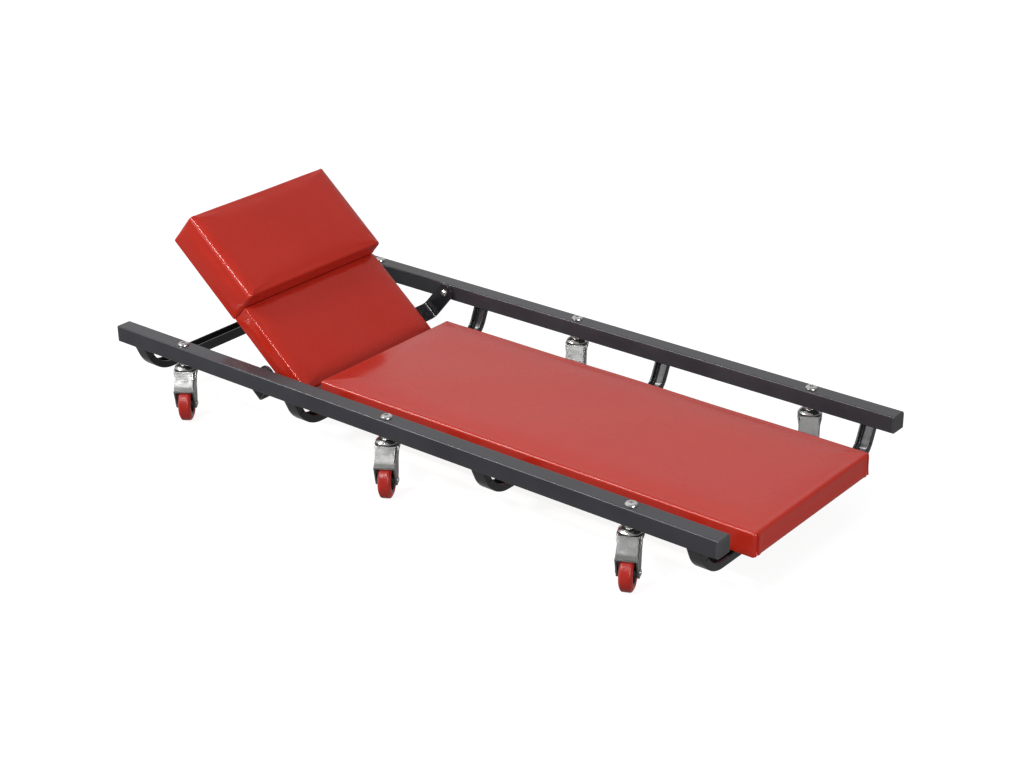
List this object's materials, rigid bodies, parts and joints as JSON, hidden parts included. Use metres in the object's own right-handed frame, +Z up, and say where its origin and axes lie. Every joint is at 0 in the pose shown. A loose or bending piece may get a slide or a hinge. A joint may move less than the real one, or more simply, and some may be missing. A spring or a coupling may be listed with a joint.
{
  "type": "mechanics creeper",
  "caption": "Low wheeled creeper: two square rails on bowed straps carry a padded bed and a tilting padded backrest with raised headrest, rolling on swivel casters.",
  "frame": {"origin": "on the floor under the centre of the two side rails", "axes": "+X along the rails towards the foot end, +Y to the user's left-hand rail, +Z up"},
  "size_m": [1.02, 0.4561, 0.26],
  "materials": {
    "rail_paint": "satin",
    "strap_paint": "gloss",
    "black_plastic": "satin",
    "red_vinyl": "satin",
    "board_wood": "matte",
    "zinc_steel": "satin",
    "bright_zinc": "polished",
    "wheel_black": "satin",
    "wheel_red": "satin",
    "washer_nylon": "satin"
  },
  "bodies": {
    "frame": {"side_rail_right": "rail_paint", "side_rail_left": "rail_paint", "rail_end_caps": "black_plastic", "cross_strap_head": "strap_paint", "cross_strap_waist": "strap_paint", "cross_strap_hip": "strap_paint", "cross_strap_foot": "strap_paint", "bed_board": "board_wood", "bed_cushion": "red_vinyl", "bed_screws": "zinc_steel", "pivot_bolts": "bright_zinc", "pivot_washers": "washer_nylon", "pivot_rivet_nuts": "zinc_steel", "caster_kingpins": "bright_zinc", "caster_top_races": "bright_zinc", "caster_screws": "bright_zinc", "caster_balls": "bright_zinc"},
    "backrest": {"backrest_board": "board_wood", "backrest_cushion": "red_vinyl", "headrest_pillow": "red_vinyl", "backrest_yoke": "strap_paint", "yoke_screws": "zinc_steel"},
    "fork_right_head": {"caster_right_head_fork": "zinc_steel", "caster_right_head_axle_rivet": "bright_zinc"},
    "wheel_right_head": {"caster_right_head_wheel_bush": "bright_zinc", "caster_right_head_wheel_hub": "wheel_black", "caster_right_head_wheel_tread": "wheel_red"},
    "fork_right_mid": {"caster_right_mid_fork": "zinc_steel", "caster_right_mid_axle_rivet": "bright_zinc"},
    "wheel_right_mid": {"caster_right_mid_wheel_bush": "bright_zinc", "caster_right_mid_wheel_hub": "wheel_black", "caster_right_mid_wheel_tread": "wheel_red"},
    "fork_right_foot": {"caster_right_foot_fork": "zinc_steel", "caster_right_foot_axle_rivet": "bright_zinc"},
    "wheel_right_foot": {"caster_right_foot_wheel_bush": "bright_zinc", "caster_right_foot_wheel_hub": "wheel_black", "caster_right_foot_wheel_tread": "wheel_red"},
    "fork_left_head": {"caster_left_head_fork": "zinc_steel", "caster_left_head_axle_rivet": "bright_zinc"},
    "wheel_left_head": {"caster_left_head_wheel_bush": "bright_zinc", "caster_left_head_wheel_hub": "wheel_black", "caster_left_head_wheel_tread": "wheel_red"},
    "fork_left_mid": {"caster_left_mid_fork": "zinc_steel", "caster_left_mid_axle_rivet": "bright_zinc"},
    "wheel_left_mid": {"caster_left_mid_wheel_bush": "bright_zinc", "caster_left_mid_wheel_hub": "wheel_black", "caster_left_mid_wheel_tread": "wheel_red"},
    "fork_left_foot": {"caster_left_foot_fork": "zinc_steel", "caster_left_foot_axle_rivet": "bright_zinc"},
    "wheel_left_foot": {"caster_left_foot_wheel_bush": "bright_zinc", "caster_left_foot_wheel_hub": "wheel_black", "caster_left_foot_wheel_tread": "wheel_red"}
  },
  "joints": [
    {"name": "backrest_tilt", "type": "hinge", "parent": "frame", "child": "backrest", "pos_m": [-0.238, 0, 0.096], "axis": [0, 1, 0], "range_deg": [-40, 15]},
    {"name": "swivel_right_head", "type": "hinge", "parent": "frame", "child": "fork_right_head", "pos_m": [-0.383, -0.202, 0.0727], "axis": [0, 0, 1], "continuous": true},
    {"name": "wheel_spin_right_head", "type": "hinge", "parent": "fork_right_head", "child": "wheel_right_head", "pos_m": [-0.37608, -0.21118, 0.025], "axis": [0.7986, 0.6018, 0], "continuous": true},
    {"name": "swivel_right_mid", "type": "hinge", "parent": "frame", "child": "fork_right_mid", "pos_m": [-0.005, -0.202, 0.0727], "axis": [0, 0, 1], "continuous": true},
    {"name": "wheel_spin_right_mid", "type": "hinge", "parent": "fork_right_mid", "child": "wheel_right_mid", "pos_m": [0.00092, -0.21186, 0.025], "axis": [0.8572, 0.515, 0], "continuous": true},
    {"name": "swivel_right_foot", "type": "hinge", "parent": "frame", "child": "fork_right_foot", "pos_m": [0.379, -0.202, 0.0727], "axis": [0, 0, 1], "continuous": true},
    {"name": "wheel_spin_right_foot", "type": "hinge", "parent": "fork_right_foot", "child": "wheel_right_foot", "pos_m": [0.38386, -0.21242, 0.025], "axis": [0.9063, 0.4226, 0], "continuous": true},
    {"name": "swivel_left_head", "type": "hinge", "parent": "frame", "child": "fork_left_head", "pos_m": [-0.383, 0.202, 0.0727], "axis": [0, 0, 1], "continuous": true},
    {"name": "wheel_spin_left_head", "type": "hinge", "parent": "fork_left_head", "child": "wheel_left_head", "pos_m": [-0.37725, 0.19204, 0.025], "axis": [0.866, 0.5, 0], "continuous": true},
    {"name": "swivel_left_mid", "type": "hinge", "parent": "frame", "child": "fork_left_mid", "pos_m": [-0.005, 0.202, 0.0727], "axis": [0, 0, 1], "continuous": true},
    {"name": "wheel_spin_left_mid", "type": "hinge", "parent": "fork_left_mid", "child": "wheel_left_mid", "pos_m": [0.00058, 0.19194, 0.025], "axis": [0.8746, 0.4848, 0], "continuous": true},
    {"name": "swivel_left_foot", "type": "hinge", "parent": "frame", "child": "fork_left_foot", "pos_m": [0.379, 0.202, 0.0727], "axis": [0, 0, 1], "continuous": true},
    {"name": "wheel_spin_left_foot", "type": "hinge", "parent": "fork_left_foot", "child": "wheel_left_foot", "pos_m": [0.38475, 0.19204, 0.025], "axis": [0.866, 0.5, 0], "continuous": true}
  ]
}
